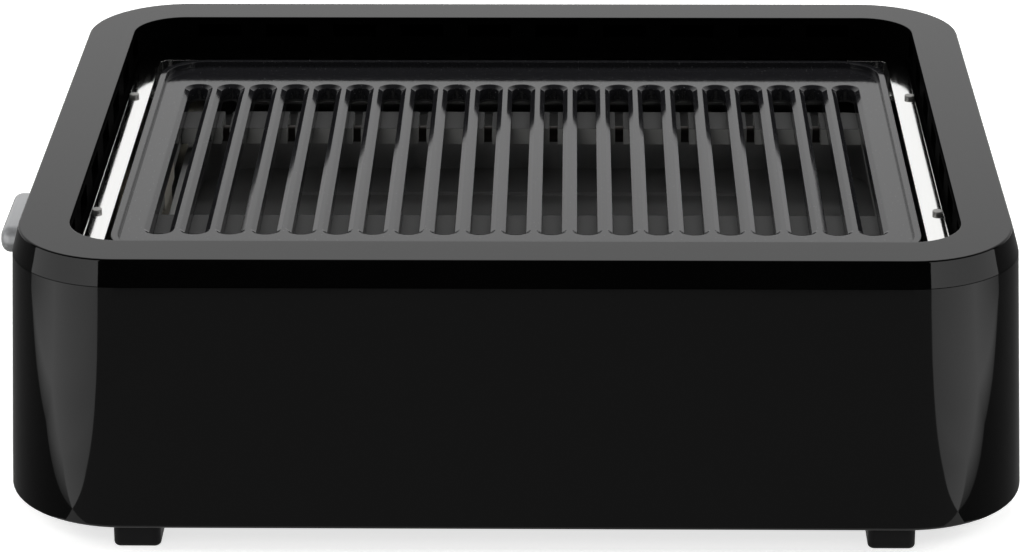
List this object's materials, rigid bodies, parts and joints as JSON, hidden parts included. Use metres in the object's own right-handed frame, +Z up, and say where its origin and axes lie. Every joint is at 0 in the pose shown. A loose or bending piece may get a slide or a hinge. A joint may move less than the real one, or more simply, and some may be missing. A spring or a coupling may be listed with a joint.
{
  "type": "electric table grill",
  "caption": "Electric table grill: a slotted cast plate with a heater below it lifts out of a drafted black housing with a flat rim, a side knob, a drip tray and a fan in the base.",
  "frame": {"origin": "on the table, under the middle of the overall box", "axes": "+X to the right along the length, +Y to the rear, +Z up; the knob is on the -X side and the plain front faces -Y"},
  "size_m": [0.4649, 0.369, 0.1334],
  "materials": {
    "housing_black": "gloss moulded",
    "frame_black": "high gloss moulded",
    "base_black": "moulded, fine texture",
    "foot_rubber": "matt",
    "polished_steel": "polished stainless sheet",
    "screw_steel": "plated",
    "coated_cast": "non-stick coated casting",
    "element_steel": "dull heat-tinted",
    "ceramic": "fired ceramic",
    "pin_brass": "plated",
    "tray_metal": "grey coated sheet",
    "zinc_sheet": "zinc plated sheet",
    "thermostat_case": "moulded phenolic",
    "shaft_steel": "ground",
    "knob_grey": "satin moulded",
    "motor_can": "zinc plated can",
    "fan_plastic": "glass filled nylon"
  },
  "bodies": {
    "base": {"lower_housing": "housing_black", "top_frame": "frame_black", "bottom_plate": "base_black", "terminal_block": "base_black", "cord_gland": "base_black", "foot_front_left": "foot_rubber", "foot_rear_left": "foot_rubber", "foot_front_right": "foot_rubber", "foot_rear_right": "foot_rubber", "liner": "polished_steel", "liner_screws": "screw_steel", "tie_screws": "screw_steel", "bracket_screws": "screw_steel", "bush_nut": "screw_steel", "terminal_socket": "ceramic", "thermostat_bracket": "zinc_sheet", "motor_bracket": "zinc_sheet", "fan_shroud": "zinc_sheet", "thermal_cutout": "zinc_sheet", "thermostat_body": "thermostat_case", "fan_motor": "motor_can"},
    "plate": {"grill_plate": "coated_cast", "heating_element": "element_steel", "element_clips": "element_steel", "terminal_holder": "ceramic", "terminal_pins": "pin_brass"},
    "tray": {"drip_tray": "tray_metal"},
    "knob": {"control_knob": "knob_grey", "thermostat_shaft": "shaft_steel"},
    "fan": {"fan_impeller": "fan_plastic", "fan_shaft": "shaft_steel"}
  },
  "joints": [
    {"name": "plate_lift", "type": "slide", "parent": "base", "child": "plate", "axis": [0, 0, 1], "range_m": [0, 0.15]},
    {"name": "tray_lift", "type": "slide", "parent": "base", "child": "tray", "axis": [0, 0, 1], "range_m": [0, 0.075]},
    {"name": "knob_turn", "type": "hinge", "parent": "base", "child": "knob", "pos_m": [-0.21465, 0, 0.0839], "axis": [1, 0, 0], "range_deg": [0, 270]},
    {"name": "fan_spin", "type": "hinge", "parent": "base", "child": "fan", "pos_m": [0.00839, 0, 0.0367], "axis": [0, 0, 1], "continuous": true}
  ],
  "couplings": [
    {"joint": "tray_lift", "follows": "plate_lift", "ratio": 0.5}
  ]
}
